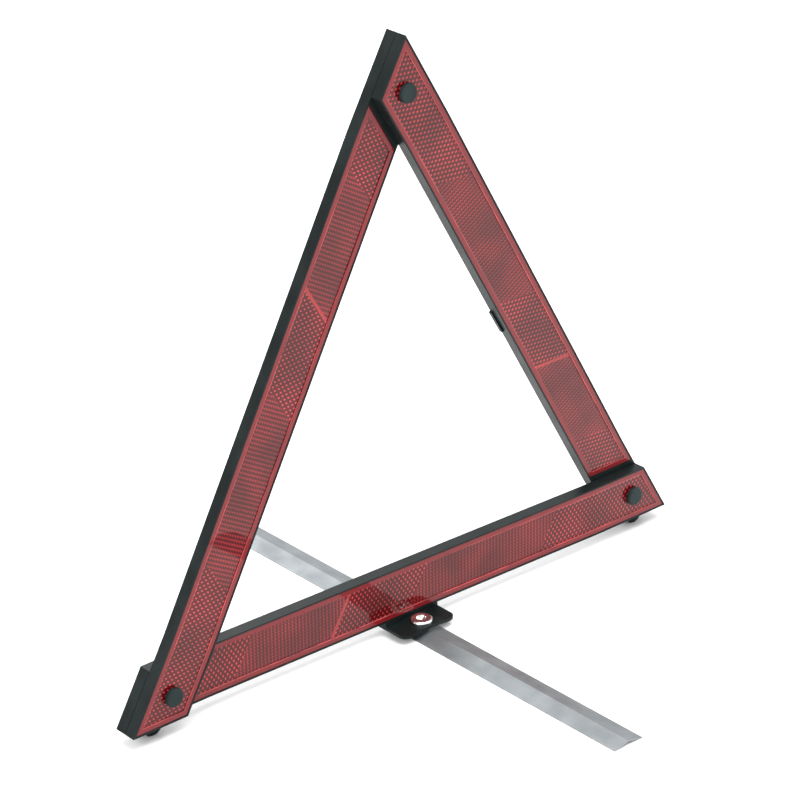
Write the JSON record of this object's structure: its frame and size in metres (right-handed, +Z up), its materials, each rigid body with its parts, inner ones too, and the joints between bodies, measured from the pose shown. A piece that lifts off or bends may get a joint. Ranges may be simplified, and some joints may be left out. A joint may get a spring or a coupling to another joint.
{
  "type": "folding warning triangle",
  "caption": "Free-standing roadside warning triangle: red reflector arms woven at the corners on a turning steel cross leg.",
  "frame": {"origin": "on the floor under the pivot of the cross leg", "axes": "+X right along the base arm, -Y towards the viewer of the lenses, +Z up"},
  "size_m": [0.43, 0.36, 0.3814],
  "materials": {
    "black_plastic": "satin moulded",
    "red_lens": "clear prismatic gloss",
    "stud_plastic": "matt",
    "zinc_steel": "zinc plated strip",
    "bright_steel": "bright"
  },
  "bodies": {
    "base": {"base_arm": "black_plastic", "base_lens": "red_lens", "left_pivot_stud": "stud_plastic", "right_pivot_stud": "stud_plastic", "left_stud_cap": "stud_plastic", "right_stud_cap": "stud_plastic", "leg_rivet": "bright_steel", "leg_washer": "bright_steel"},
    "left_side": {"left_arm": "black_plastic", "left_lens": "red_lens"},
    "right_side": {"right_arm": "black_plastic", "right_lens": "red_lens", "apex_stud": "stud_plastic"},
    "leg": {"stand_leg": "zinc_steel"}
  },
  "joints": [
    {"name": "left_fold", "type": "hinge", "parent": "base", "child": "left_side", "pos_m": [-0.18556, 0.0129, 0.026], "axis": [0, -1, 0], "range_deg": [0, 120]},
    {"name": "right_fold", "type": "hinge", "parent": "base", "child": "right_side", "pos_m": [0.18556, 0.0129, 0.026], "axis": [0, 1, 0], "range_deg": [0, 120]},
    {"name": "leg_turn", "type": "hinge", "parent": "base", "child": "leg", "pos_m": [0, 0, 0.004], "axis": [0, 0, 1], "range_deg": [0, 90]}
  ]
}
